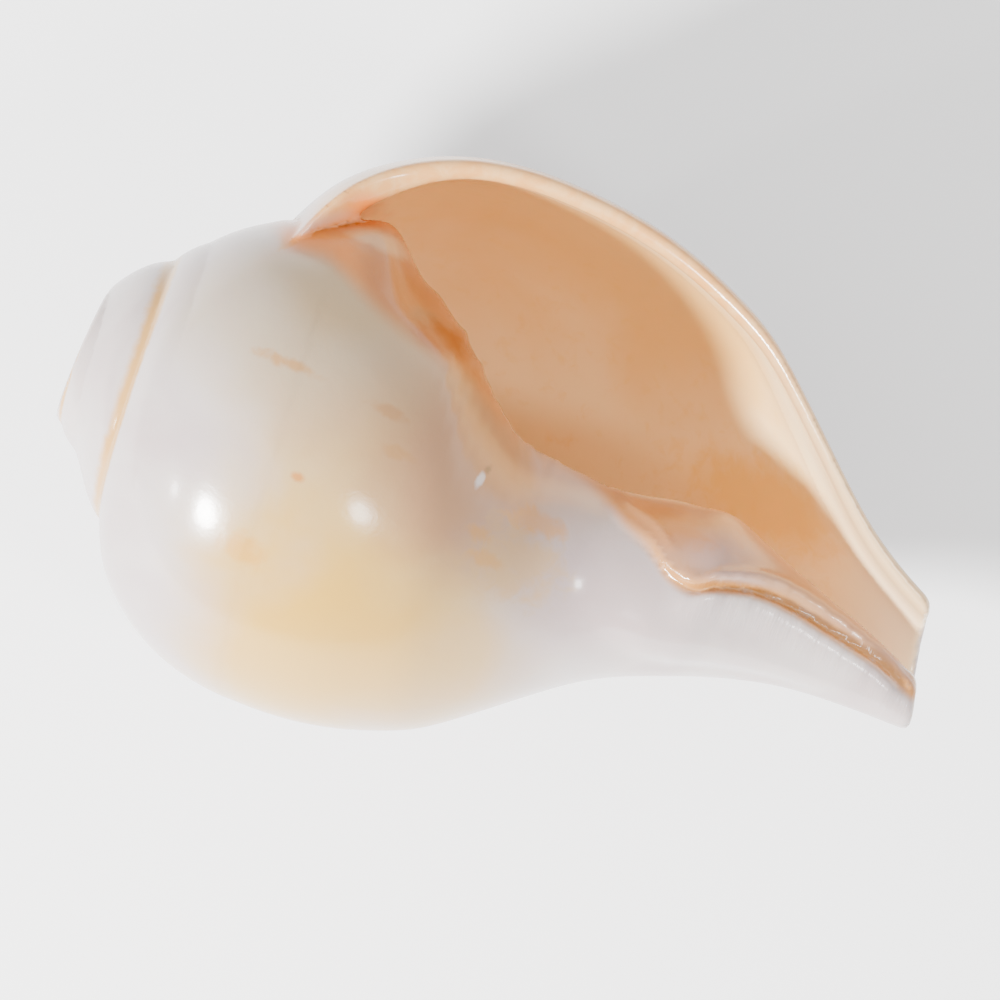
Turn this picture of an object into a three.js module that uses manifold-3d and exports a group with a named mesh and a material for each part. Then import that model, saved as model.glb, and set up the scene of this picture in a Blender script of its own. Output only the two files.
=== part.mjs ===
// A blowing conch: one thick-walled, right-handed sea shell with a ground-off apex, lying on its back.
// The shell is a logarithmic spiral. Each whorl repeats one outline, larger by a fixed factor per
// half turn, so every surface here is that outline swept round the coil axis.
// Local axes: x runs along the coil axis from the ground apex to the canal, y points to the outer lip
// and z out of the mouth, which faces up once the shell lies on its back.
import * as THREE from "three";
import { mergeVertices } from "three/addons/utils/BufferGeometryUtils.js";
import Module from "manifold-3d";

const wasm = await Module();
wasm.setup();

// Driving dimensions, in millimetres, and angles in degrees.
const GROWTH_PER_HALF_TURN = 1.287;
const SPIRAL_ORIGIN = -16.5; // where the spiral would vanish, on the coil axis
const LIP_ANGLE = 375; // growth angle at which the shell stopped, the edge of the outer lip
const FIRST_WHORL_ANGLE = -705; // growth angle of the oldest whorl kept inside the ground apex
const LUMEN_START_ANGLE = -620;
const LUMEN_PAST_LIP = 30; // how far the hollow's cutter runs on in front of the mouth
const WHORL_STEP = 9;
const LUMEN_STEP = 12;
const SHELL_END = 136; // sections run past the canal's end, which is trimmed afterwards
const WALL = 3.3; // wall at the lip, thinner in the older whorls
const POSTERIOR_WALL = 3.2; // extra wall where the whorl meets the one before
const INNER_GLAZE = 0.7; // layer laid over the previous whorl inside the mouth
const WALL_EXPONENT = 0.6; // the wall thins less than the whorl shrinks
const POSTERIOR_CENTRE = 42; // where that extra wall is thickest, and its spread, on the outline
const POSTERIOR_SPREAD = 9;
const LUMEN_EDGE = 0.3; // the hollow's cutter is this thin along its two edges
const LEAST_GAP = 0.6; // it ends where less room than this is left
const LUMEN_FIRST = 40; // distance from the spiral origin, on the outline, where it can begin
const LUMEN_SCAN = 0.25;
const APEX_FACE = 0; // the ground face, across the coil axis
const APEX_FILL = 5; // the oldest whorls are grown solid this far behind the ground face
const CANAL_TOP = new THREE.Vector2(127.9, 11);
const CANAL_TIP = new THREE.Vector2(131.7, -4.2);
const BLOW_HOLE_RADIUS = 5;
const BLOW_HOLE_DEPTH = 10;
const ROLL = 7; // the lip side tips up, turning about the coil axis
const AXIS_DIP = 9.5; // the canal end lies lower than the apex
const AXIS_YAW = -23; // the coil axis as seen from above
const REST_DEPTH = 0.5; // depth of the rubbed flat under the belly, which the shell lies on

// Outline of a whorl at growth angle 360: distance along the axis from the spiral origin, and radius.
const OUTLINE = [
  [29, 5], [33, 17], [37, 29.5], [40.5, 36.3], [45, 40.8], [51, 44.8], [58, 47.7], [66, 49.2],
  [74, 49.4], [82, 48.8], [90, 47.2], [98, 44.4], [105, 41], [112, 35.2], [119, 28.8], [126, 22.6],
  [133, 18], [141, 14.1], [150, 10.4], [160, 7.5], [172, 6], [190, 5.4], [240, 5.2], [700, 5.2],
];
// The columella, the pillar round the axis, at growth angle 360.
const PILLAR = [
  [55, 2], [66, 9], [78, 12.8], [90, 13.4], [107, 13.2], [114, 11.1], [120, 9.3], [126, 7.4], [133, 5.6],
  [140, 4.1], [148, 2.9], [700, 2.6],
];
// The grown shell's columella is not quite straight: how far its centre stands to the lip's side.
const PILLAR_LIFT = [
  [0, 0], [90, 0], [98, 0.8], [104, 1.2], [110, 0.9], [117, 0.3], [123, -0.5], [131, -1.6], [160, -1.6],
];
// The pad of callus where the lip is welded to the whorl before it: centre and half sizes,
// as distance along the axis, growth angle and radius.
const PAD_CENTRE = [29.5, 22, 27.5];
const PAD_HALF = [10.5, 11, 7];
// How far the shoulder of an early whorl falls short of the outline, by growth angle.
const EARLY_DROOP = [[-900, 16], [-360, 14], [-180, 4.5], [0, 5], [180, 0.3], [360, 0], [420, 0]];
const DROOP_START = 45; // the droop fades out beyond the shoulder, over this length of the outline
const DROOP_LENGTH = 12;
const APEX_NARROWING = 0.25; // share by which the oldest whorls are narrower than the spiral makes them
const LEAST_RADIUS = 0.4;
const CORE_RADIUS = 1.5; // closes the line where the half turns meet on the coil axis
const CORE_SIDES = 12;
const AXIS_RADIUS = 0.1;
const FILLET = 7; // sharpness of the hollow between a whorl and the columella
const HOLE_SIDES = 24;
const CUTTER_SIZE = 160; // wider than the shell every way
const WELD = 1e-5;

const SPIRAL_RATE = Math.log(GROWTH_PER_HALF_TURN) / 180;
const growth = (angle) => Math.exp(SPIRAL_RATE * (angle - 360));

function curveThrough(points) {
  const curve = new THREE.CubicInterpolant(
    points.map((point) => point[0]),
    points.map((point) => point[1]),
    1,
  );
  return (position) => curve.evaluate(position)[0];
}

const outline = curveThrough(OUTLINE);
const pillar = curveThrough(PILLAR);
const pillarLift = curveThrough(PILLAR_LIFT);
const earlyDroop = curveThrough(EARLY_DROOP);

// Outer radius of the whorl at a growth angle, at a distance s along the axis.
function whorlRadius(angle, s) {
  const size = growth(angle);
  const xi = (s - SPIRAL_ORIGIN) / size;
  const droop = earlyDroop(angle) * Math.exp(-Math.max(0, xi - DROOP_START) / DROOP_LENGTH);
  const narrowing = 1 - APEX_NARROWING * THREE.MathUtils.clamp((-360 - angle) / 360, 0, 1);
  return Math.max(size * narrowing * (outline(xi) - droop), LEAST_RADIUS);
}

// Radius of the columella in the direction of an angle, once the shell had grown to a stage.
function pillarRadius(stage, angle, s) {
  const size = growth(stage);
  const lift = pillarLift(s) * Math.cos(THREE.MathUtils.degToRad(angle));
  return size * pillar((s - SPIRAL_ORIGIN) / size) + lift;
}

// A whorl runs on to the columella in a smooth hollow.
function withColumella(angle, s, stage) {
  return (whorlRadius(angle, s) ** FILLET + pillarRadius(stage, angle, s) ** FILLET) ** (1 / FILLET);
}

function wallThickness(angle, s) {
  const size = growth(angle);
  const xi = (s - SPIRAL_ORIGIN) / size;
  const posterior = POSTERIOR_WALL * Math.exp(-(((xi - POSTERIOR_CENTRE) / POSTERIOR_SPREAD) ** 2));
  return (WALL + posterior) * size ** WALL_EXPONENT;
}

function lumenFloor(angle, s) {
  return withColumella(angle - 360, s, Math.min(angle, LIP_ANGLE)) + INNER_GLAZE;
}

const lumenRoof = (angle, s) => whorlRadius(angle, s) - wallThickness(angle, s);

function onShell(angle, s, radius) {
  const turn = THREE.MathUtils.degToRad(angle);
  return [s, radius * Math.cos(turn), radius * Math.sin(turn)];
}

// Closed solid through rings of the same number of points, with a flat cap at each end.
function sweep(rings) {
  const count = rings[0].length;
  const positions = rings.flat(2);
  const index = [];
  for (let ring = 0; ring + 1 < rings.length; ring++) {
    for (let i = 0; i < count; i++) {
      const next = (i + 1) % count;
      const a = ring * count + i;
      const b = ring * count + next;
      index.push(a, b, a + count, b, b + count, a + count);
    }
  }
  const capIndex = (ring) => {
    const contour = rings[ring].map(([x, y, z]) => new THREE.Vector2(x, Math.hypot(y, z)));
    const forward = Math.sign(THREE.ShapeUtils.area(contour));
    return THREE.ShapeUtils.triangulateShape(contour, []).map((corners) => {
      const along = Math.sign(THREE.ShapeUtils.area(corners.map((corner) => contour[corner])));
      const ordered = along === forward ? corners : [...corners].reverse();
      return ordered.map((corner) => ring * count + corner);
    });
  };
  for (const corners of capIndex(0)) index.push(...corners.reverse());
  for (const corners of capIndex(rings.length - 1)) index.push(...corners);
  const geometry = new THREE.BufferGeometry();
  geometry.setAttribute("position", new THREE.Float32BufferAttribute(positions, 3));
  geometry.setIndex(index);
  return solid(geometry);
}

function solid(geometry) {
  const bare = geometry.clone();
  bare.deleteAttribute("normal");
  bare.deleteAttribute("uv");
  const merged = mergeVertices(bare, WELD);
  const made = new wasm.Manifold(
    new wasm.Mesh({
      numProp: 3,
      vertProperties: new Float32Array(merged.attributes.position.array),
      triVerts: new Uint32Array(merged.index.array),
    }),
  );
  if (made.volume() > 0) return made;
  merged.index.array.reverse();
  return solid(merged);
}

const SECTION_BODY = OUTLINE.map((point) => point[0]).filter((xi) => xi <= 141);
const SECTION_TAIL = 6; // stations along the siphonal end, which is nearly straight

function whorlSection(angle) {
  const size = growth(angle);
  const stations = SECTION_BODY.map((xi) => SPIRAL_ORIGIN + size * xi);
  const last = stations.at(-1);
  for (let i = 1; i <= SECTION_TAIL; i++) {
    stations.push(last + ((SHELL_END - last) * i) / SECTION_TAIL);
  }
  const outside = stations.map((s) => onShell(angle, s, withColumella(angle, s, LIP_ANGLE)));
  const axisStart = onShell(angle, stations[0], AXIS_RADIUS);
  const axisEnd = onShell(angle, SHELL_END, AXIS_RADIUS);
  return [axisStart, ...outside, axisEnd];
}

// Half a turn of a whorl, solid to the coil axis.
function halfTurn(from, to) {
  const steps = Math.round((to - from) / WHORL_STEP);
  const rings = [];
  for (let i = 0; i <= steps; i++) rings.push(whorlSection(from + ((to - from) * i) / steps));
  return sweep(rings);
}

function outerBody() {
  let body = columellaCore().add(callusPad());
  for (let to = LIP_ANGLE; to > FIRST_WHORL_ANGLE; to -= 180) {
    body = body.add(halfTurn(Math.max(to - 180, FIRST_WHORL_ANGLE), to));
  }
  return body;
}

function columellaCore() {
  const length = SHELL_END - SPIRAL_ORIGIN;
  const core = new THREE.CylinderGeometry(CORE_RADIUS, CORE_RADIUS, length, CORE_SIDES);
  core.rotateZ(Math.PI / 2);
  return solid(core.translate(SPIRAL_ORIGIN + length / 2, 0, 0));
}

function callusPad() {
  const [s, angle, radius] = PAD_CENTRE;
  const pad = new THREE.SphereGeometry(1, 20, 12);
  pad.scale(PAD_HALF[0], PAD_HALF[2], PAD_HALF[1]).translate(s, radius, 0);
  return solid(pad.rotateX(THREE.MathUtils.degToRad(angle)));
}

// The hollow inside the whorls: it opens at the mouth and along the canal.
const LUMEN_POINTS = 9;

function lumenSection(angle) {
  const isOpen = (s) => lumenRoof(angle, s) - lumenFloor(angle, s) > LEAST_GAP;
  let start = Math.max(SPIRAL_ORIGIN + growth(angle) * LUMEN_FIRST, APEX_FILL);
  while (!isOpen(start) && start < SHELL_END) start += LUMEN_SCAN;
  let end = start;
  while (isOpen(end) && end < SHELL_END) end += LUMEN_SCAN;
  const stations = [];
  for (let i = 0; i < LUMEN_POINTS; i++) {
    const along = (1 - Math.cos((Math.PI * i) / (LUMEN_POINTS - 1))) / 2;
    stations.push(start + (end - start) * along);
  }
  const roof = stations.map((s) => onShell(angle, s, lumenRoof(angle, s)));
  const floor = stations.map((s) => {
    const highest = lumenRoof(angle, s) - LUMEN_EDGE;
    return onShell(angle, s, Math.min(lumenFloor(angle, s), highest));
  });
  return [...roof, ...floor.reverse()];
}

function lumen() {
  const rings = [];
  const end = LIP_ANGLE + LUMEN_PAST_LIP;
  const steps = Math.round((end - LUMEN_START_ANGLE) / LUMEN_STEP);
  for (let i = 0; i <= steps; i++) {
    rings.push(lumenSection(LUMEN_START_ANGLE + ((end - LUMEN_START_ANGLE) * i) / steps));
  }
  return sweep(rings);
}

// Cutters that trim the ground apex and the canal's end.
function apexCut() {
  const cutter = new THREE.BoxGeometry(CUTTER_SIZE, CUTTER_SIZE, CUTTER_SIZE);
  return solid(cutter.translate(APEX_FACE - CUTTER_SIZE / 2, 0, 0));
}

function canalCut() {
  const edge = CANAL_TOP.clone().sub(CANAL_TIP);
  const cutter = new THREE.BoxGeometry(CUTTER_SIZE, CUTTER_SIZE, CUTTER_SIZE);
  cutter.translate(CUTTER_SIZE / 2, 0, 0);
  cutter.rotateZ(Math.atan2(-edge.x, edge.y));
  cutter.translate(CANAL_TIP.x, CANAL_TIP.y, 0);
  return solid(cutter);
}

function blowHole() {
  const length = 2 * BLOW_HOLE_DEPTH;
  const hole = new THREE.CylinderGeometry(BLOW_HOLE_RADIUS, BLOW_HOLE_RADIUS, length, HOLE_SIDES);
  hole.rotateZ(Math.PI / 2).translate(APEX_FACE, 0, 0);
  return solid(hole);
}

function shellSolid() {
  const cutters = [lumen(), apexCut(), canalCut(), blowHole()];
  const carved = cutters.reduce((body, cutter) => body.subtract(cutter), outerBody());
  // The joins between half turns leave slivers of no volume: only the shell itself is kept.
  return carved.decompose().sort((a, b) => b.volume() - a.volume())[0];
}

function toGeometry(body) {
  const mesh = body.getMesh();
  const geometry = new THREE.BufferGeometry();
  geometry.setAttribute("position", new THREE.Float32BufferAttribute(mesh.vertProperties, 3));
  geometry.setIndex(new THREE.Uint32BufferAttribute(mesh.triVerts, 1));
  geometry.computeVertexNormals();
  return geometry;
}

function turnedToRest(geometry) {
  geometry.rotateX(THREE.MathUtils.degToRad(ROLL));
  geometry.rotateY(THREE.MathUtils.degToRad(AXIS_DIP));
  return geometry.rotateZ(THREE.MathUtils.degToRad(AXIS_YAW));
}

// The shell on its back, where its weight holds it, on the flat rubbed into its belly.
function restingShell() {
  const lying = turnedToRest(toGeometry(shellSolid()));
  lying.computeBoundingBox();
  const table = new THREE.BoxGeometry(CUTTER_SIZE, CUTTER_SIZE, CUTTER_SIZE);
  table.translate(0, 0, lying.boundingBox.min.z + REST_DEPTH - CUTTER_SIZE / 2);
  const geometry = toGeometry(solid(lying).subtract(solid(table)));
  geometry.computeBoundingBox();
  const box = geometry.boundingBox;
  const centre = box.getCenter(new THREE.Vector3());
  return geometry.translate(-centre.x, -centre.y, -box.min.z);
}

const shell = new THREE.Mesh(
  restingShell(),
  new THREE.MeshStandardMaterial({ color: 0xe9dfd2, roughness: 0.2, metalness: 0 }),
);
shell.name = "shell";

const group = new THREE.Group();
group.add(shell);
export default group;
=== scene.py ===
"""A polished conch shell lying on its back, seen from above into its mouth.

The shell is one solid bounded by swept spiral surfaces. Its field is worked out in shell coordinates:
s, millimetres along the coil axis from the ground apex; angle, degrees round the axis from the
outer lip's side, turning over the mouth; and growth, the angle counted on through the turns, which
is 360 on the lip's side of the last whorl. Height is towards the lip, depth is towards the viewer.
"""
import math

import bpy
import numpy as np
from mathutils import Matrix, Vector


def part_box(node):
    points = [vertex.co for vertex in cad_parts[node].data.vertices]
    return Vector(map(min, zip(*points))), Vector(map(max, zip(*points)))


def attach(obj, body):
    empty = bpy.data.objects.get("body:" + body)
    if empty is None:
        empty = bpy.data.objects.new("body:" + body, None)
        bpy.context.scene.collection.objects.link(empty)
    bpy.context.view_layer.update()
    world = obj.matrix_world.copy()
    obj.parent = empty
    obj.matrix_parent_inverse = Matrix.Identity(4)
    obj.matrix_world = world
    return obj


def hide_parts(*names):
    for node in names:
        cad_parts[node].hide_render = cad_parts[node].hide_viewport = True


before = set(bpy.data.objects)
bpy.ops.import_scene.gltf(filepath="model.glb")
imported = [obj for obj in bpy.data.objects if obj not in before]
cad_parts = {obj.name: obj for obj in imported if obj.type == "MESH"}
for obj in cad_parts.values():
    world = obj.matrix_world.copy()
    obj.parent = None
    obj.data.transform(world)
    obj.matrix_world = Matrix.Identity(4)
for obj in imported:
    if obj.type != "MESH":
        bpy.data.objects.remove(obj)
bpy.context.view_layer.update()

MM = 0.001
CELL = 0.7  # grid step of the surface, in millimetres

# ---------------------------------------------------------------- the spiral
HALF_TURN_GROWTH = 1.287
SPIRAL_RATE = math.log(HALF_TURN_GROWTH) / 180
ORIGIN = -16.5  # s of the point that the spiral grows out from
LAST_GROWTH = 375  # growth at the outer lip
MOUTH_SIDE_END = 540  # growth where the callus's side of the shell ends, under the belly
OLDEST_LUMEN = -560  # growth where the hollow ends, in the spire
TURNS = (1, 0, -1, -2)  # the last whorl first

WALL = 2.9
POSTERIOR_WALL, POSTERIOR_XI, POSTERIOR_REACH = 3.4, 42, 9  # extra wall at the whorl's back end
WALL_GROWTH = 0.6  # how the wall follows the whorl's size, as a power
APEX_FILL = 5.0  # solid shell left at the ground apex
BLOW_HOLE_RADIUS = 5.0
BLOW_HOLE_DEPTH = 10.0
REST_DEPTH = 0.5  # how deep the belly is rubbed flat
CANAL_TIP = (131.7, -4.2)  # the canal's end is cut along the line between these: s, height
CANAL_TOP = (127.9, 11.0)

# How the axis lies, in degrees.
ROLL = 7.0
AXIS_DIP = 9.5
AXIS_YAW = -23.0

# Widths of the fillets between the surfaces.
LUMEN_FILLET = 3.2
LIP_EDGE_FILLET = 1.8
RIM_ROUNDING = 2.2
SUTURE_FILLET = 0.3
CALLUS_FILLET = 0.4
APEX_FILLET = 0.5
CANAL_END_FILLET = 1.6

# Outline of a whorl at growth 360: distance from the spiral origin, radius.
OUTLINE = [
    (29, 5), (33, 17), (37, 29.5), (40.5, 36.3), (45, 40.8), (51, 44.8), (58, 47.7), (66, 49.2),
    (74, 49.4), (82, 48.8), (90, 47.2), (98, 44.4), (105, 41), (112, 35.2), (119, 28.8), (126, 22.6),
    (133, 18), (141, 14.1), (150, 10.4), (160, 7.5), (172, 6), (190, 5.4), (240, 5.2), (700, 5.2),
]
BLUR_STEPS = 101  # how many samples of the outline are averaged to round its corners
# How far the shoulder of the older whorls droops: growth, drop.
EARLY_DROOP = [
    (-900, 16), (-360, 14), (-180, 4.5), (0, 5), (180, 0.3), (360, 0), (420, 0), (800, 0),
]
DROOP_FROM, DROOP_FADE = 45, 12
# Where the spire's shoulder is cut lower: by how much, growth and its reach, outline place and its reach.
SPIRE_CUT = (6.3, -180, 120, 46, 9)
SPIRE_NARROWING = 0.25  # how much narrower the oldest whorls are than the spiral
LEAST_RADIUS = 0.4
# The columella at growth 375: s, radius.
COLUMELLA = [
    (20, 0.5), (38, 3), (50, 8), (60, 11), (68, 12), (74, 11.8), (79, 11.4), (84.5, 12.0), (91, 13.0),
    (96, 12.7), (100, 11.1), (104, 9.5), (109, 7.9), (115, 6.4), (121, 5.2), (126, 4.1), (131, 3.0),
    (150, 2.5),
]
# How far the columella's centre stands to the lip's side, by s.
COLUMELLA_LIFT = [
    (0, 0), (90, -0.1), (95, 0.9), (99, 1.4), (109, 1.4), (115, 1.05), (121, 0.5), (126, -0.2),
    (131, -1.1), (150, -1.1),
]
COLUMELLA_UNDERCUT = 0.3  # how much thinner it is under the belly, so that it keeps inside the whorl
COLUMELLA_BLEND = 7  # the sharpness of its join with the previous whorl, as a power
LEAST_COLUMELLA = 0.2
# Growth angle of the outer lip's edge, by s.
LIP_EDGE = [
    (0, 400), (18, 400), (22, 394), (25, 387), (29, 381), (35, 377), (50, 375), (70, 376), (84, 379),
    (98, 384), (114, 390), (135, 393),
]

# ---------------------------------------------------------------- the callus
# Free edge of the callus laid over the front of the shell: s, height.
CALLUS_EDGE = [
    (0, 30), (18, 27.5), (22, 25.6), (28.5, 25.7), (34.5, 23.1), (39.8, 20.9), (45.1, 19.5),
    (53.5, 17.1), (62.4, 13.2), (70.6, 12.0), (77.2, 9.5), (81.8, 7.2), (86.2, 5.9), (89.8, 3.7),
    (94, 2.8), (97.4, 4.4), (103.2, 5.9), (108.8, 5.8), (114.3, 5.0), (119.2, 4.2), (123.5, 3.5),
    (129.6, 1.4), (136, 0),
]
# How thick the callus stands at that edge, by s.
CALLUS_STEP = [
    (0, 0.3), (22, 0.45), (45, 0.35), (60, 0.3), (72, 0.35), (82, 0.5), (90, 1.1), (104, 1.5),
    (116, 1.2), (124, 0.7), (136, 0.3),
]
# Over what width it rises to that thickness, by s.
CALLUS_RISE = [(0, 3), (45, 3), (60, 2.6), (74, 2.6), (84, 1.9), (92, 1.1), (120, 1.0), (136, 1.4)]
# Swellings of the callus: thickness, s and its reach, degrees past the lip's growth and their reach.
PAD = (4.6, 34.2, 5.4, 2, 17)
SHELF = (2.0, 26, 6, 12, 13)
# Ridges along the free edge: thickness, distance past the edge, half width.
CORD = (1.5, -1.6, 3.0)
GROOVE = (-1.0, -0.5, 0.8)
EDGE_ROLL = (0.55, 0.9, 0.9)
SECOND_FOLD = (0.35, 2.6, 0.7)
CORD_RANGE = (90, 98, 124, 131)  # s where the cord starts to rise, is full, starts to sink, is gone
SECOND_FOLD_RANGE = (68, 73, 84, 92)
RIPPLE_RANGE = (47, 52, 68, 74)
RIPPLE = 0.16
CREST_REACH = 40  # degrees either side of the lip's growth where the crest has knobs
# Knobs on the columella's crest: s, height, radius of the knob, how far it stands out.
KNOBS = [
    (44.5, 26.4, 2.0, 0.5), (50.2, 23.2, 1.6, 0.5), (54.9, 21.4, 1.5, 2.1), (59.3, 18.6, 1.5, 0.7),
    (64.0, 15.4, 1.6, 1.4), (68.2, 13.6, 1.5, 0.5),
]

# ---------------------------------------------------------------- the mesh
SEARCH_LOW, SEARCH_HIGH = (-1.5, -40, -46), (134, 52, 36)
BLOCK = 16  # grid layers worked out at a time
SETTLE_ROUNDS = 3
LEAST_SLOPE = 0.05
LONGEST_MOVE = 0.6  # of a cell
SLOPE_REACH = 0.06


def smooth_table(points, step=0.1):
    """Samples a smooth curve through points, for np.interp."""
    x, y = np.array(points, dtype=float).T
    slope = np.empty_like(x)
    slope[1:-1] = (y[2:] - y[:-2]) / (x[2:] - x[:-2])
    slope[0] = (y[1] - y[0]) / (x[1] - x[0])
    slope[-1] = (y[-1] - y[-2]) / (x[-1] - x[-2])
    at = np.arange(x[0], x[-1] + step, step)
    i = np.clip(np.searchsorted(x, at, side="right") - 1, 0, len(x) - 2)
    span = x[i + 1] - x[i]
    t = np.clip((at - x[i]) / span, 0, 1)
    value = (
        y[i] * (1 + 2 * t) * (1 - t) ** 2 + span * slope[i] * t * (1 - t) ** 2
        + y[i + 1] * t * t * (3 - 2 * t) + span * slope[i + 1] * t * t * (t - 1)
    )
    return at, value


def blurred(values, steps):
    """Values averaged over a number of steps round each."""
    weights = np.hanning(steps) / np.hanning(steps).sum()
    return np.convolve(np.pad(values, steps // 2, mode="edge"), weights, mode="valid")


outline_x, outline_y = smooth_table(OUTLINE)
outline_y = blurred(outline_y, BLUR_STEPS)
outline_slope = np.gradient(outline_y, outline_x)
droop_x, droop_y = smooth_table(EARLY_DROOP, 2)
column_x, column_y = smooth_table(COLUMELLA)
lift_x, lift_y = smooth_table(COLUMELLA_LIFT)
lip_x, lip_y = smooth_table(LIP_EDGE)
edge_x, edge_y = smooth_table(CALLUS_EDGE)
step_x, step_y = smooth_table(CALLUS_STEP)
rise_x, rise_y = smooth_table(CALLUS_RISE)


def growth_size(growth):
    """Size of a whorl at a stage of growth, against growth 360."""
    return np.exp(SPIRAL_RATE * (growth - 360))


def step_up(low, high, value):
    """Smooth step from 0 at low to 1 at high."""
    t = np.clip((value - low) / (high - low), 0, 1)
    return t * t * (3 - 2 * t)


def between(limits, value):
    """Smooth plateau: rises between the first two limits, and falls between the last two."""
    start, full, ending, end = limits
    return step_up(start, full, value) * (1 - step_up(ending, end, value))


def bell(value, width):
    return np.exp(-(value / width) ** 2)


def ridge(shape, distance):
    """Height of a ridge across its line."""
    thickness, middle, width = shape
    return thickness * bell(distance - middle, width)


def soft_max(a, b, k):
    h = np.maximum(k - np.abs(a - b), 0) / k
    return np.maximum(a, b) + h * h * k / 4


def soft_min(a, b, k):
    return -soft_max(-a, -b, k)


def whorl(growth, s):
    """Radius of a whorl's outside, and the outline's slope there."""
    size = growth_size(growth)
    xi = (s - ORIGIN) / size
    droop = np.interp(growth, droop_x, droop_y) * np.exp(-np.maximum(0, xi - DROOP_FROM) / DROOP_FADE)
    cut, cut_growth, growth_reach, cut_xi, xi_reach = SPIRE_CUT
    droop = droop + cut * bell(growth - cut_growth, growth_reach) * bell(xi - cut_xi, xi_reach)
    narrowing = 1 - SPIRE_NARROWING * np.clip((-360 - growth) / 360, 0, 1)
    radius = size * narrowing * (np.interp(xi, outline_x, outline_y) - droop)
    return np.maximum(radius, LEAST_RADIUS), np.interp(xi, outline_x, outline_slope)


def column(growth, angle, s):
    """Radius of the columella in the direction of an angle, at a stage of growth."""
    scale = growth_size(np.minimum(growth, LAST_GROWTH)) / growth_size(LAST_GROWTH)
    inner = np.interp((s - ORIGIN) / scale + ORIGIN, column_x, column_y) * scale
    inner = inner + np.interp(s, lift_x, lift_y) * np.cos(np.radians(angle))
    under = between((110, 175, 200, 280), angle)
    return np.maximum(inner * (1 - COLUMELLA_UNDERCUT * under), LEAST_COLUMELLA)


def swelling(shape, s, past_lip_growth):
    """Thickness of a swelling of the callus."""
    thickness, middle, reach, turn, turn_reach = shape
    return thickness * bell(s - middle, reach) * bell(past_lip_growth - turn, turn_reach)


def crest_relief(s, height, past_lip_growth):
    """Knobs and ripples along the columella's crest."""
    knobs = sum(
        out * np.exp(-((s - knob_s) ** 2 + (height - knob_height) ** 2) / size ** 2)
        for knob_s, knob_height, size, out in KNOBS
    )
    ripple = RIPPLE * np.sin(s * 2.1) * np.sin(s * 0.83 + 1) * between(RIPPLE_RANGE, s)
    return bell(past_lip_growth, CREST_REACH) * (knobs + ripple)


def edge_relief(s, past_edge):
    """The fold, the groove and the cord that run along the canal on the callus's free edge."""
    uneven = 1 + (0.06 * np.sin(s * 1.3 + 1.0) + 0.03 * np.sin(s * 2.9)) / CORD[0]
    wave = 1 + 0.14 * np.sin(s * 1.9 + 0.6) + 0.05 * np.sin(s * 4.3)
    along = uneven * ridge(CORD, past_edge) + ridge(GROOVE, past_edge) + wave * ridge(EDGE_ROLL, past_edge)
    return between(CORD_RANGE, s) * along + between(SECOND_FOLD_RANGE, s) * ridge(SECOND_FOLD, past_edge)


def callus(growth, angle, s, radius):
    """Thickness of the layer over the previous whorl, inside the mouth and out to its free edge."""
    past_lip_growth = growth - LAST_GROWTH
    turn = np.radians(angle)
    height, depth = radius * np.cos(turn), radius * np.sin(turn)
    past_edge = height - np.interp(s, edge_x, edge_y)
    on_mouth_side = growth < MOUTH_SIDE_END
    front = on_mouth_side * step_up(-2, 6, depth) * step_up(-60, -20, past_lip_growth)
    ahead = step_up(-45, -15, past_lip_growth)
    covered = on_mouth_side * step_up(-0.5, 0.5, past_edge / np.interp(s, rise_x, rise_y))
    sheet = np.interp(s, step_x, step_y) * (1 - ahead * (1 - covered))
    pad = swelling(PAD, s, past_lip_growth)
    shelf = swelling(SHELF, s, past_lip_growth) * step_up(-2, 4, past_edge)
    return sheet + pad + shelf + front * edge_relief(s, past_edge) + crest_relief(s, height, past_lip_growth)


def inner_lip(growth, angle, s, previous):
    """Radius of the surface that the hollow runs over."""
    column_part = column(growth, angle, s) ** COLUMELLA_BLEND
    blend = (previous ** COLUMELLA_BLEND + column_part) ** (1 / COLUMELLA_BLEND)
    return blend + callus(growth, angle, s, blend)


def spiral_surfaces(points):
    """Every surface the shell is made of, as distances, and the coordinates they were found in."""
    s, y, z = points[..., 0], points[..., 1], points[..., 2]
    radius = np.hypot(y, z)
    angle = np.degrees(np.arctan2(z, y)) % 360
    whorls = [whorl(angle + 360 * n, s) for n in (*TURNS, TURNS[-1] - 1)]
    lip_gap = radius * np.radians(angle + 360 - np.interp(s, lip_x, lip_y))
    walls, lumens, floors = [], [], []
    for turn, n in enumerate(TURNS):
        growth = angle + 360 * n
        size = growth_size(growth)
        outside, slope = whorls[turn]
        below, below_slope = whorls[turn + 1]
        floor = inner_lip(growth, angle, s, below)
        tilt, below_tilt = np.sqrt(1 + slope ** 2), np.sqrt(1 + below_slope ** 2)
        xi = (s - ORIGIN) / size
        wall = (WALL + POSTERIOR_WALL * bell(xi - POSTERIOR_XI, POSTERIOR_REACH)) * size ** WALL_GROWTH
        roof = (radius - (outside - wall)) / tilt
        ground = (floor - radius) / below_tilt
        lumen = soft_max(roof, ground, LUMEN_FILLET * np.minimum(size, 1))
        lumen = soft_max(lumen, APEX_FILL - s, 2.0)
        if n == TURNS[-1]:
            lumen = soft_max(lumen, radius * np.radians(OLDEST_LUMEN - growth), 1.0)
        walls.append((radius - outside) / tilt)
        lumens.append(lumen)
        floors.append(-ground)
    return s, y, radius, angle, lip_gap, walls, lumens, floors


def least(fields):
    """The smallest of several fields at each point."""
    return np.minimum.reduce(fields)


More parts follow.
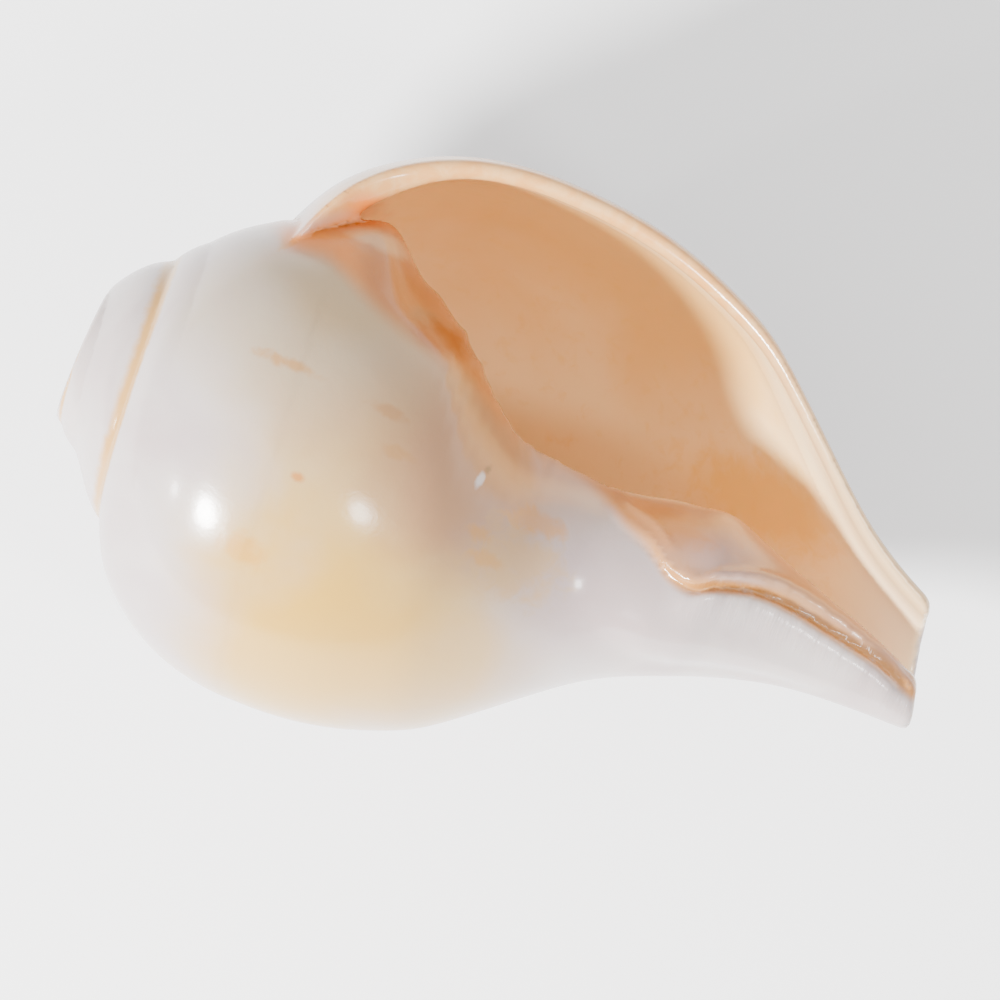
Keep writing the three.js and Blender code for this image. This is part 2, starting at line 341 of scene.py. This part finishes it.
def field(points):
    """Signed distance, near enough, from the shell's surface: negative inside the material."""
    s, y, radius, angle, lip_gap, walls, lumens, floors = spiral_surfaces(points)
    body = soft_max(walls[0], lip_gap, LIP_EDGE_FILLET)
    body = soft_min(body, floors[0], CALLUS_FILLET)
    for wall in walls[1:]:
        body = soft_min(body, wall, SUTURE_FILLET)
    # The lip's rim is rounded where it stands clear of the floor.
    rounding = 0.05 + RIM_ROUNDING * step_up(0, 3, floors[0]) * step_up(-9, -3, lip_gap)
    shell = soft_max(body, -least(lumens), rounding)

    bore = soft_max(radius - BLOW_HOLE_RADIUS, s - BLOW_HOLE_DEPTH, 1.5)
    shell = soft_max(shell, -bore, 0.8)
    shell = soft_max(shell, -s, APEX_FILLET)
    (tip_s, tip_y), (top_s, top_y) = CANAL_TIP, CANAL_TOP
    length = math.hypot(top_s - tip_s, top_y - tip_y)
    canal_end = ((s - tip_s) * (top_y - tip_y) - (y - tip_y) * (top_s - tip_s)) / length
    return soft_max(shell, canal_end, CANAL_END_FILLET)


# ---------------------------------------------------------------- the surface
CORNERS = [(a, b, c) for a in (0, 1) for b in (0, 1) for c in (0, 1)]


def sample_grid(axes):
    """The field on a grid, a block of layers at a time."""
    values = np.empty([len(axis) for axis in axes], dtype=np.float32)
    for i in range(0, len(axes[0]), BLOCK):
        block = np.stack(np.meshgrid(axes[0][i:i + BLOCK], axes[1], axes[2], indexing="ij"), -1)
        values[i:i + BLOCK] = field(block)
    return values


def crossed_cells(inside):
    """Cells that the surface passes through, and the grid of their numbers."""
    shape = inside.shape
    count = np.zeros([n - 1 for n in shape], dtype=np.int8)
    for a, b, c in CORNERS:
        count += inside[a:shape[0] - 1 + a, b:shape[1] - 1 + b, c:shape[2] - 1 + c]
    cells = np.argwhere((count > 0) & (count < len(CORNERS)))
    index = np.full(count.shape, -1, dtype=np.int64)
    index[tuple(cells.T)] = np.arange(len(cells))
    return cells, index


def cell_points(values, cells):
    """The mean of the places where the surface crosses each cell's edges, in cells."""
    total = np.zeros((len(cells), 3))
    crossings = np.zeros(len(cells))
    for corner in CORNERS:
        for axis in range(3):
            if corner[axis]:
                continue
            end = list(corner)
            end[axis] = 1
            va = values[tuple((cells + corner).T)]
            vb = values[tuple((cells + end).T)]
            cut = (va < 0) != (vb < 0)
            place = np.array(corner, dtype=float)[None, :].repeat(len(cells), 0)
            place[:, axis] += np.where(cut, va / np.where(cut, va - vb, 1), 0)
            total += place * cut[:, None]
            crossings += cut
    return cells + total / crossings[:, None]


def grid_quads(inside, index):
    """A quad across each grid edge that the surface crosses."""
    shape = inside.shape
    unit = np.eye(3, dtype=int)
    quads = []
    for axis in range(3):
        u, v = (axis + 1) % 3, (axis + 2) % 3
        first = inside[tuple(slice(0, shape[i] - unit[axis][i]) for i in range(3))]
        second = inside[tuple(slice(unit[axis][i], shape[i]) for i in range(3))]
        for leaving in (True, False):
            at = np.argwhere(first & ~second if leaving else second & ~first)
            clear = (at[:, u] > 0) & (at[:, v] > 0) & (at[:, u] < shape[u] - 1) & (at[:, v] < shape[v] - 1)
            at = at[clear]
            ring = [at - unit[u] - unit[v], at - unit[v], at, at - unit[u]]
            quad = np.stack([index[tuple(corner.T)] for corner in ring], 1)
            quads.append(quad if leaving else quad[:, ::-1])
    return np.concatenate(quads)


def surface_nets(low, high, cell):
    """Closed quad mesh of the field's zero surface, by surface nets."""
    axes = [np.arange(a, b + cell, cell) for a, b in zip(low, high)]
    values = sample_grid(axes)
    inside = values < 0
    cells, index = crossed_cells(inside)
    verts = cell_points(values, cells) * cell + np.array(low)
    return verts, grid_quads(inside, index)


def edges_of(quads):
    return np.concatenate([quads[:, [0, 1]], quads[:, [1, 2]], quads[:, [2, 3]], quads[:, [3, 0]]])


def keep_largest(verts, quads):
    """Drops what isn't joined to the shell."""
    label = np.arange(len(verts))
    edges = edges_of(quads)
    while True:
        low = np.minimum(label[edges[:, 0]], label[edges[:, 1]])
        before = label.copy()
        np.minimum.at(label, edges[:, 0], low)
        np.minimum.at(label, edges[:, 1], low)
        label = label[label]
        if (label == before).all():
            break
    kept = label == np.bincount(label).argmax()
    new = np.cumsum(kept) - 1
    return verts[kept], new[quads[kept[quads[:, 0]]]]


def gradient(points):
    """Slope of the field along each axis."""
    slope = np.empty_like(points)
    for axis in range(3):
        shift = np.zeros(3)
        shift[axis] = SLOPE_REACH
        slope[:, axis] = (field(points + shift) - field(points - shift)) / (2 * SLOPE_REACH)
    return slope


def neighbour_mean(verts, edges, degree):
    """The middle of each vertex's neighbours."""
    mean = np.zeros_like(verts)
    for axis in range(3):
        mean[:, axis] = (
            np.bincount(edges[:, 0], verts[edges[:, 1], axis], len(verts))
            + np.bincount(edges[:, 1], verts[edges[:, 0], axis], len(verts))
        ) / degree
    return mean


def onto_surface(verts):
    """Moves each vertex down the field's slope to the surface, by no more than part of a cell."""
    slope = gradient(verts)
    steepness = np.maximum((slope ** 2).sum(1), LEAST_SLOPE)
    move = slope * (field(verts) / steepness)[:, None]
    length = np.linalg.norm(move, axis=1, keepdims=True)
    return verts - move * np.minimum(1, LONGEST_MOVE * CELL / np.maximum(length, 1e-9))


def settle(verts, quads):
    """Evens the net out along the surface and puts every vertex on it."""
    edges = edges_of(quads)
    degree = np.bincount(edges.ravel(), minlength=len(verts))
    for _ in range(SETTLE_ROUNDS):
        verts = verts + 0.5 * (neighbour_mean(verts, edges, degree) - verts)
        verts = onto_surface(verts)
    return onto_surface(verts)


# ---------------------------------------------------------------- placing it in the frame
def rotation():
    """How the shell's axis, lip side and mouth lie in the world."""
    return (
        Matrix.Rotation(math.radians(AXIS_YAW), 3, "Z")
        @ Matrix.Rotation(math.radians(AXIS_DIP), 3, "Y")
        @ Matrix.Rotation(math.radians(ROLL), 3, "X")
    )


TURN = np.array(rotation())


def store(mesh, name, values):
    """Writes one value for each vertex, for the material to read."""
    mesh.attributes.new(name, "FLOAT", "POINT").data.foreach_set("value", values.astype(np.float32))


def mark_inside(mesh, lip_gap, walls, lumens):
    """1 on the walls of the hollow, in the last whorl and in the older ones."""
    behind_lip = 1 - step_up(-4.5, 0.3, lip_gap)
    in_last = step_up(-1.4, -0.5, -np.abs(lumens[0])) * behind_lip
    older = step_up(-0.5, -0.15, -np.abs(least(lumens[1:])))
    under_skin = step_up(0.4, 1.2, -least(walls[1:]))
    store(mesh, "inside", np.clip(np.maximum(in_last, older * under_skin), 0, 1))


def mark_lip(mesh, s, radius, angle, floors):
    """1 on the band along the outer lip's rim, and on the face just inside it, where a pool of light is
    painted.
    """
    band = 10 + 14 * (1 - step_up(40, 60, s))
    past_lip = radius * np.radians((angle + 180 - np.interp(s, lip_x, lip_y)) % 360 - 180)
    clear = step_up(0.8, 3.5, np.where(angle > 180, floors[1], floors[0]))
    beside_edge = (1 - step_up(0, 1, -past_lip / band)) * (1 - step_up(1, 3, past_lip))
    store(mesh, "rim", beside_edge * clear * step_up(16, 21, s))
    store(mesh, "painted_lit_lip", step_up(-16, -5, past_lip) * (1 - step_up(0, 4, past_lip)))


def mark_callus(mesh, s, height, depth, floor_gap):
    """1 on the callus in front of the mouth, and the distance past its free edge."""
    front = step_up(-3, 5, depth) * (1 - step_up(-0.5, 0.6, floor_gap - 0.3))
    past_edge = height - np.interp(s, edge_x, edge_y)
    store(mesh, "callus", front * step_up(-0.7, 0.7, past_edge / np.interp(s, rise_x, rise_y)))
    store(mesh, "past_edge", past_edge)
    store(mesh, "floor_gap", floor_gap)


def mark_seams(mesh, s, depth, lip_gap, walls, floors):
    """Distance from the sutures, and 1 in the notch where the lip meets the spire."""
    lip_wall = np.maximum(walls[0], lip_gap)
    seams = np.hypot(lip_wall, walls[1])
    for newer, older, narrower in ((1, 2, 1.0), (2, 3, 4.0)):
        seams = np.minimum(seams, narrower * np.hypot(walls[newer], walls[older]))
    store(mesh, "seam", seams)
    beside_lip = bell(np.hypot(lip_wall, floors[0]), 3.4)
    store(mesh, "notch", beside_lip * bell(s - 29.5, 7) * step_up(-1, 7, depth))


def mark_regions(mesh, points):
    """Writes where on the shell each vertex lies, for the material to colour."""
    s, height, radius, angle, lip_gap, walls, lumens, floors = spiral_surfaces(points)
    depth = points[:, 2]
    mark_inside(mesh, lip_gap, walls, lumens)
    mark_lip(mesh, s, radius, angle, floors)
    mark_callus(mesh, s, height, depth, floors[0])
    mark_seams(mesh, s, depth, lip_gap, walls, floors)
    # How far the crest of the inner lip is, where the surface is the inner lip.
    from_crest = np.abs((angle + 180) % 360 - 180) * radius * math.pi / 180
    far_away = 99
    store(mesh, "crest", np.where(np.abs(floors[0]) < 1.2, from_crest, far_away))
    store(mesh, "along", s)
    store(mesh, "height", height)
    store(mesh, "depth", depth)
    mesh.attributes.new("shell_point", "FLOAT_VECTOR", "POINT").data.foreach_set(
        "vector", points.astype(np.float32).ravel()
    )


def lay_on_flat(placed, normals):
    """Rubs the belly flat where the shell lies on it."""
    floor_height = placed[:, 2].min() + REST_DEPTH * MM
    under = placed[:, 2] < floor_height
    placed[under, 2] = floor_height
    normals[under] = (0, 0, -1)
    return placed, normals


def build_shell():
    """Meshes the shell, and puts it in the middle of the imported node's box, on its floor."""
    verts, quads = surface_nets(SEARCH_LOW, SEARCH_HIGH, CELL)
    verts, quads = keep_largest(verts, quads)
    verts = settle(verts, quads)
    normals = gradient(verts)
    normals /= np.linalg.norm(normals, axis=1, keepdims=True)
    placed, normals = lay_on_flat(verts @ TURN.T * MM, normals @ TURN.T)
    box_low, box_high = (np.array(corner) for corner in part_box("shell"))
    shift = (box_low + box_high) / 2 - (placed.min(0) + placed.max(0)) / 2
    shift[2] = box_low[2] - placed[:, 2].min()
    placed = placed + shift
    mesh = bpy.data.meshes.new("conch_shell")
    mesh.from_pydata(placed.tolist(), [], quads.tolist())
    mesh.update()
    mesh.polygons.foreach_set("use_smooth", np.ones(len(quads), dtype=bool))
    mesh.normals_split_custom_set_from_vertices(normals.tolist())
    mark_regions(mesh, verts)
    shell = bpy.data.objects.new("conch_shell", mesh)
    bpy.context.collection.objects.link(shell)
    return shell, shift


shell, place_shift = build_shell()


def world_point(local):
    """World place of a point in shell coordinates."""
    return Vector(TURN @ np.array(local, dtype=float) * MM + place_shift)


# ---------------------------------------------------------------- finish
class Nodes:
    """Short ways to add the nodes of one material."""

    def __init__(self, name):
        self.material = bpy.data.materials.new(name)
        self.material.use_nodes = True
        self.tree = self.material.node_tree
        self.shader = self.tree.nodes["Principled BSDF"]

    def set(self, socket, value):
        if isinstance(value, bpy.types.NodeSocket):
            self.tree.links.new(value, socket)
        else:
            socket.default_value = value

    def attribute(self, name, output):
        node = self.tree.nodes.new("ShaderNodeAttribute")
        node.attribute_name = name
        return node.outputs[output]

    def value(self, name):
        return self.attribute(name, "Fac")

    def vector(self, name):
        return self.attribute(name, "Vector")

    def math(self, kind, a, b=0.0):
        node = self.tree.nodes.new("ShaderNodeMath")
        node.operation = kind
        self.set(node.inputs[0], a)
        self.set(node.inputs[1], b)
        return node.outputs[0]

    def plus(self, a, b):
        return self.math("ADD", a, b)

    def times(self, *factors):
        product = factors[0]
        for factor in factors[1:]:
            product = self.math("MULTIPLY", product, factor)
        return product

    def swing(self, noise, size):
        """A noise of 0 to 1 made to swing either side of 0, by half of size at most."""
        return self.times(self.math("SUBTRACT", noise, 0.5), size)

    def ramp(self, value, low, high, start=0.0, end=1.0):
        """Smooth step of value from low to high, mapped to start and end."""
        node = self.tree.nodes.new("ShaderNodeMapRange")
        node.interpolation_type = "SMOOTHSTEP"
        self.set(node.inputs["Value"], value)
        node.inputs["From Min"].default_value = low
        node.inputs["From Max"].default_value = high
        node.inputs["To Min"].default_value = start
        node.inputs["To Max"].default_value = end
        return node.outputs["Result"]

    def near(self, value, middle, far, close):
        """1 where value is within close of middle, 0 where it is further than far."""
        return self.ramp(self.math("ABSOLUTE", self.plus(value, -middle)), far, close)

    def mix(self, factor, a, b):
        node = self.tree.nodes.new("ShaderNodeMix")
        node.data_type = "RGBA"
        self.set(node.inputs[0], factor)
        self.set(node.inputs[6], a)
        self.set(node.inputs[7], b)
        return node.outputs[2]

    def noise(self, point, scale, detail=3.0, rough=0.5, warp=0.0):
        node = self.tree.nodes.new("ShaderNodeTexNoise")
        self.set(node.inputs["Vector"], point)
        node.inputs["Scale"].default_value = scale
        node.inputs["Detail"].default_value = detail
        node.inputs["Roughness"].default_value = rough
        node.inputs["Distortion"].default_value = warp
        return node.outputs["Fac"]

    def stretch(self, point, scale):
        node = self.tree.nodes.new("ShaderNodeMapping")
        self.set(node.inputs["Vector"], point)
        node.inputs["Scale"].default_value = scale
        return node.outputs["Vector"]

    def vector_math(self, kind, a, b=(0, 0, 0)):
        node = self.tree.nodes.new("ShaderNodeVectorMath")
        node.operation = kind
        self.set(node.inputs[0], a)
        self.set(node.inputs[1], b)
        return node.outputs

    def spot(self, point, centre, size, wobble):
        """Soft patch round a point of the shell: 1 at its middle, 0 past its half sizes."""
        away = self.vector_math("SUBTRACT", point, centre)[0]
        scaled = self.vector_math("DIVIDE", away, size)[0]
        length = self.vector_math("LENGTH", scaled)["Value"]
        return self.ramp(self.plus(length, self.times(wobble, 1.1)), 1.5, 0.45)


def rgb(red, green, blue, light=0.72, depths=(1.65, 3.0)):
    """Pigment that looks like an sRGB colour in the bright studio: its tint is deepened."""
    values = [channel / 255 for channel in (red, green, blue)]
    linear = [v / 12.92 if v < 0.04045 else ((v + 0.055) / 1.055) ** 2.4 for v in values]
    most = linear[0]
    green_depth, blue_depth = depths
    return (
        light * most,
        light * most * (linear[1] / most) ** green_depth,
        light * most * (linear[2] / most) ** blue_depth,
        1.0,
    )


def inner_rgb(red, green, blue):
    """The same inside the hollow, where light that bounces between the walls deepens the tint."""
    return rgb(red, green, blue, 1.36, (0.9, 1.35))


MILK = (rgb(213, 205, 207), rgb(203, 192, 196))
SUTURE_TAN = rgb(216, 178, 138)
SALMON = (rgb(212, 160, 134), rgb(202, 146, 118))
MAUVE = (rgb(200, 160, 146), rgb(195, 152, 137))
CREST_ORANGE = rgb(204, 142, 96)
RIDGE_ORANGE = rgb(204, 148, 100, 0.78, (1.35, 2.4))
RIM_PINK = (rgb(232, 197, 180, 0.85), rgb(228, 184, 161, 0.85))
RIM_PALE = rgb(224, 200, 189, 0.85)
NOTCH_ORANGE = rgb(216, 130, 74, 0.74, (1.2, 1.9))
RECESS_ORANGE = rgb(220, 116, 50, 0.88, (1.0, 1.4))
INNER_HIGH = inner_rgb(212, 162, 120)
INNER_LOW = inner_rgb(222, 186, 158)
INNER_FLECK = inner_rgb(208, 156, 98)
# painted shade: grey-lilac for the shaded far end of the canal
INNER_CANAL_PAINTED_SHADE = inner_rgb(190, 168, 164)
INNER_OCHRE = inner_rgb(208, 150, 78)
# painted light: the pale cream of the face inside the outer lip, where the lamp shines in
PAINTED_LIGHT_INNER_LIP = inner_rgb(238, 212, 192)

# Places of the spots: centre and half sizes in shell coordinates.
RECESS = ((30.8, 34.4, 2), (4.6, 2.6, 16))
OCHRE_ZONE = ((99, 18, -8), (15, 6, 24))
# Patches on the callus: centre, half sizes, colour, strength. The pale lilac-white streak among them is a
# painted highlight.
SOFT_ORANGE = (1.4, 2.4)
STRONG_ORANGE = (1.3, 2.0)
CALLUS_MARKS_AND_SHEEN = [
    ((23.5, 26.6, 20), (8, 3.6, 16), rgb(222, 150, 106, 0.78, SOFT_ORANGE), 0.9),
    ((37.0, 25.0, 18), (13, 4.6, 18), rgb(198, 142, 120, 0.7), 0.7),
    # painted highlight: pale lilac-white streak for the sheen on the callus's ridge by the notch
    ((34.5, 30.8, 16), (6.5, 1.2, 14), rgb(226, 198, 190, 0.8), 0.7),
    ((44.0, 22.8, 16), (2.4, 1.6, 12), rgb(160, 134, 128, 0.7), 0.5),
    ((47.5, 21.2, 16), (4.8, 2.2, 16), rgb(180, 106, 46, 0.66, STRONG_ORANGE), 1.0),
    ((97, 8.5, 12), (9, 3.2, 10), rgb(186, 166, 172), 0.8),
    ((86, 9.5, 12), (8, 3.4, 12), rgb(206, 150, 122, 0.72, SOFT_ORANGE), 0.75),
    ((108, 8.5, 10), (8, 2.6, 9), rgb(196, 164, 156), 0.6),
]
# Clouds on the outside, in the same form: tints of the shell, and two pinkish-brown ones by the mouth that
# are painted shading.
BODY_CLOUDS_AND_PAINTED_SHADE = [
    ((54, -6, 30), (24, 24, 34), rgb(214, 188, 166), 0.85),
    ((46, -30, 22), (17, 20, 34), rgb(222, 190, 142), 0.92),
    ((64, -26, 18), (16, 14, 26), rgb(217, 187, 156), 0.85),
    # painted shading: pinkish-brown by the mouth, standing for the mouth's colour glowing through the thin
    # wall and reflected onto the belly
    ((48, 13, 26), (22, 13, 24), rgb(193, 166, 156), 0.85),
    ((60, 6, 22), (14, 14, 20), rgb(182, 150, 146), 0.85),
    ((27, 18, 26), (18, 14, 22), rgb(201, 188, 182), 0.7),
    ((34, 22, 22), (12, 6, 16), rgb(200, 176, 160), 0.5),
    ((80, -3, 14), (15, 10, 16), rgb(182, 169, 174), 0.85),
]
# Small marks, one pale chip and the painted shadow above it on the outside, in the same form.
SMALL_MARKS_AND_CHIP_SHADOW = [
    ((36.8, -4.6, 34), (0.9, 0.6, 8), rgb(206, 150, 104), 0.7),
    ((33.4, -17.0, 34), (3.4, 1.8, 10), rgb(222, 180, 134), 0.6),
    ((29.0, 9.5, 28), (4.4, 0.8, 9), rgb(200, 158, 124), 0.6),
    ((44.6, 8.8, 28), (2.6, 0.8, 9), rgb(180, 142, 126), 0.5),
    ((48.0, 4.0, 28), (2.4, 0.9, 9), rgb(186, 148, 124), 0.35),
    ((68.6, -4.0, 16), (7.0, 5.0, 12), rgb(208, 180, 162), 0.6),
    ((70.0, 2.6, 14), (4.2, 1.6, 9), rgb(214, 162, 122, 0.72, STRONG_ORANGE), 0.55),
    ((62.9, -1.9, 18), (1.9, 1.2, 9), rgb(206, 156, 112, 0.72, STRONG_ORANGE), 0.6),
    ((65.2, -5.0, 18), (2.6, 1.1, 9), rgb(210, 162, 118, 0.72, STRONG_ORANGE), 0.55),
    ((60.3, 5.0, 22), (0.5, 1.1, 8), rgb(222, 220, 222), 0.8),
    # painted shadow: dark grey mark above the pale chip, where its broken edge shades it
    ((60.8, 6.9, 22), (0.6, 0.7, 8), rgb(120, 104, 100), 0.8),
]


def add_spots(nodes, colour, point, marks, wobble, where=1.0):
    """Paints patches over a colour, each with its own strength, where another value allows."""
    for centre, size, tint, strength in marks:
        patch = nodes.times(nodes.spot(point, centre, size, wobble), where, strength)
        colour = nodes.mix(patch, colour, tint)
    return colour


def outside_colour(nodes, point, broad, fine):
    """Milky white with lilac-grey, cream and beige clouds, painted pinkish-brown shading by the mouth, small
    marks, a pale chip with a painted shadow, and tan sutures.
    """
    colour = nodes.mix(nodes.ramp(broad, 0.4, 0.62), *MILK)
    colour = add_spots(nodes, colour, point, BODY_CLOUDS_AND_PAINTED_SHADE, nodes.swing(broad, 1.0))
    colour = add_spots(nodes, colour, point, SMALL_MARKS_AND_CHIP_SHADOW, nodes.swing(fine, 2.0))
    seam = nodes.plus(nodes.value("seam"), nodes.swing(fine, 0.9))
    return nodes.mix(nodes.times(nodes.ramp(seam, 1.4, 0.5), 0.85), colour, SUTURE_TAN)


def inside_colour(nodes, point, broad, fine):
    """Peach inside the mouth, paler low down, ochre along the canal, with painted shade greying the canal's
    end and a painted pool of light on the face inside the lip.
    """
    low_down = nodes.ramp(nodes.plus(nodes.value("height"), nodes.swing(broad, 24.0)), 42, 18)
    colour = nodes.mix(low_down, INNER_HIGH, INNER_LOW)
    colour = nodes.mix(nodes.times(nodes.ramp(fine, 0.52, 0.75), 0.25), colour, INNER_FLECK)
    # painted shade: the canal's end is greyed more towards its tip
    colour = nodes.mix(nodes.ramp(nodes.value("along"), 112, 126, 0.0, 0.6), colour, INNER_CANAL_PAINTED_SHADE)
    ochre = nodes.spot(point, *OCHRE_ZONE, nodes.swing(fine, 1.0))
    colour = nodes.mix(nodes.times(ochre, 0.75), colour, INNER_OCHRE)
    # painted light: a pale pool laid on the face inside the outer lip
    return nodes.mix(nodes.times(nodes.value("painted_lit_lip"), 0.6), colour, PAINTED_LIGHT_INNER_LIP)


def add_callus(nodes, colour, point, fine):
    """Salmon to mauve glaze over the front with its patches and one painted highlight streak, and the orange
    on the crest of the inner lip.
    """
    s, on_callus = nodes.value("along"), nodes.value("callus")
    mottle = nodes.ramp(fine, 0.3, 0.7)
    layer = nodes.mix(nodes.ramp(s, 62, 74), nodes.mix(mottle, *SALMON), nodes.mix(mottle, *MAUVE))
    colour = nodes.mix(nodes.times(on_callus, 0.85), colour, layer)
    colour = add_spots(nodes, colour, point, CALLUS_MARKS_AND_SHEEN, nodes.swing(fine, 1.0), on_callus)
    crest = nodes.ramp(nodes.value("crest"), 3.6, 0.6)
    crest = nodes.times(crest, nodes.ramp(s, 42, 50), nodes.ramp(s, 74, 64), nodes.ramp(fine, 0.25, 0.6))
    return nodes.mix(nodes.times(crest, 0.75), colour, CREST_ORANGE)


def canal_ridge(nodes, fine):
    """1 on the ridge that the callus's free edge makes along the canal."""
    return nodes.times(
        nodes.near(nodes.value("past_edge"), -0.2, 1.7, 0.2),
        nodes.ramp(nodes.value("along"), 80, 92),
        nodes.ramp(nodes.value("depth"), -1, 3),
        nodes.ramp(nodes.value("floor_gap"), 1.5, 0.5),
        nodes.ramp(fine, 0.2, 0.5),
    )


def add_lip(nodes, colour, point, fine):
    """Pinkish band on the lip's rim, and the deep orange of the notch."""
    band = nodes.mix(nodes.ramp(fine, 0.35, 0.65), *RIM_PINK)
    band = nodes.mix(nodes.ramp(nodes.value("along"), 78, 112), band, RIM_PALE)
    colour = nodes.mix(nodes.times(nodes.value("rim"), 0.92), colour, band)
    colour = nodes.mix(nodes.times(nodes.value("notch"), 0.95), colour, NOTCH_ORANGE)
    recess = nodes.spot(point, *RECESS, nodes.swing(fine, 0.6))
    return nodes.mix(nodes.times(recess, 0.95), colour, RECESS_ORANGE)


def relief(nodes, point, fine, edge):
    """Height of the fine unevenness: faint all over, and wrinkled along the canal's ridge and cord."""
    grain = nodes.noise(point, 1.6, 3, 0.6)
    wrinkles = nodes.noise(nodes.stretch(point, (3.2, 0.5, 0.5)), 0.6, 2, 0.6)
    cord = nodes.times(
        nodes.near(nodes.value("past_edge"), -3.4, 3.4, 1.2),
        nodes.ramp(nodes.value("along"), 88, 98),
        nodes.ramp(nodes.value("depth"), 0, 3),
    )
    worn = nodes.math("MAXIMUM", cord, edge)
    return nodes.plus(nodes.plus(fine, nodes.times(grain, 0.12)), nodes.times(wrinkles, worn, 2.2))


def shell_material():
    """Porcelain-glossed shell, coloured by where on the shell each point lies."""
    nodes = Nodes("polished_shell")
    point = nodes.vector("shell_point")
    broad = nodes.noise(point, 0.045, 3, 0.5, 0.6)
    fine = nodes.noise(point, 0.35, 4, 0.6, 0.4)
    edge = canal_ridge(nodes, fine)

    outside = outside_colour(nodes, point, broad, fine)
    colour = nodes.mix(nodes.value("inside"), outside, inside_colour(nodes, point, broad, fine))
    colour = add_callus(nodes, colour, point, fine)
    colour = nodes.mix(nodes.times(edge, 0.85), colour, RIDGE_ORANGE)
    colour = add_lip(nodes, colour, point, fine)

    nodes.set(nodes.shader.inputs["Base Color"], colour)
    nodes.shader.inputs["Roughness"].default_value = 0.22
    nodes.shader.inputs["IOR"].default_value = 1.53
    nodes.shader.inputs["Coat Weight"].default_value = 0.2
    nodes.shader.inputs["Coat Roughness"].default_value = 0.08
    nodes.shader.inputs["Subsurface Weight"].default_value = 0.12
    nodes.shader.inputs["Subsurface Radius"].default_value = (1.0, 0.6, 0.4)
    nodes.shader.inputs["Subsurface Scale"].default_value = 0.004
    bump = nodes.tree.nodes.new("ShaderNodeBump")
    bump.inputs["Strength"].default_value = 1.0
    bump.inputs["Distance"].default_value = 0.04 * MM
    nodes.set(bump.inputs["Height"], relief(nodes, point, fine, edge))
    nodes.set(nodes.shader.inputs["Normal"], bump.outputs["Normal"])
    return nodes.material


shell.data.materials.append(shell_material())
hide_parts("shell")
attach(shell, "root")


# ---------------------------------------------------------------- stage, light and camera
FLOOR_SIZE = 6
FLOOR_WHITE = 0.95
VIEW_DISTANCE = 0.9
VIEW_SLOPE = 23.0  # degrees that the coil axis slopes down in the picture
VIEW_CENTRE = (64.0, 3.48, 0.0)  # in shell coordinates
VIEW_WIDTH = 145.0  # millimetres across the picture, at the shell
SENSOR = 36.0
LIGHT_DISTANCE = 0.9
# Soft lamps: direction in the camera's frame, width, power.
LAMPS = {
    "key": ((-0.69, -0.38, 0.60), 0.2, 33),
    "second": ((0.40, -0.30, 0.87), 0.14, 3.0),
    "side": ((-0.93, -0.16, 0.33), 0.08, 1.6),
}
SKY_STRENGTH = 1.45


def add_floor():
    bpy.ops.mesh.primitive_plane_add(size=FLOOR_SIZE)
    floor = bpy.context.object
    floor.name = "floor"
    material = bpy.data.materials.new("floor_paper")
    material.use_nodes = True
    shader = material.node_tree.nodes["Principled BSDF"]
    shader.inputs["Base Color"].default_value = (FLOOR_WHITE, FLOOR_WHITE, FLOOR_WHITE, 1)
    shader.inputs["Roughness"].default_value = 0.9
    floor.data.materials.append(material)


def add_lamp(name, direction, size, power):
    """A round soft lamp that shines on the shell from a direction in the camera's frame."""
    light = bpy.data.lights.new(name, "AREA")
    light.shape = "DISK"
    light.size = size
    light.energy = power
    lamp = bpy.data.objects.new(name, light)
    bpy.context.collection.objects.link(lamp)
    away = view_turn @ Vector(direction).normalized()
    lamp.location = look_at + away * LIGHT_DISTANCE
    lamp.rotation_euler = away.to_track_quat("Z", "Y").to_euler()


def add_sky():
    world = bpy.data.worlds.new("studio")
    bpy.context.scene.world = world
    world.use_nodes = True
    background = world.node_tree.nodes["Background"]
    background.inputs["Color"].default_value = (1, 1, 1, 1)
    background.inputs["Strength"].default_value = SKY_STRENGTH


def add_camera():
    data = bpy.data.cameras.new("camera")
    data.sensor_width = SENSOR
    data.lens = VIEW_DISTANCE / MM * SENSOR / VIEW_WIDTH
    camera = bpy.data.objects.new("camera", data)
    bpy.context.collection.objects.link(camera)
    camera.matrix_world = Matrix.Translation(look_at + toward * VIEW_DISTANCE) @ view_turn.to_4x4()
    bpy.context.scene.camera = camera


look_at = world_point(VIEW_CENTRE)
slope = math.radians(VIEW_SLOPE)
right = rotation() @ Vector((math.cos(slope), math.sin(slope), 0))
upward = rotation() @ Vector((-math.sin(slope), math.cos(slope), 0))
toward = rotation() @ Vector((0, 0, 1))
view_turn = Matrix((right, upward, toward)).transposed()

add_camera()
add_floor()
for name, (direction, size, power) in LAMPS.items():
    add_lamp(name, direction, size, power)
add_sky()
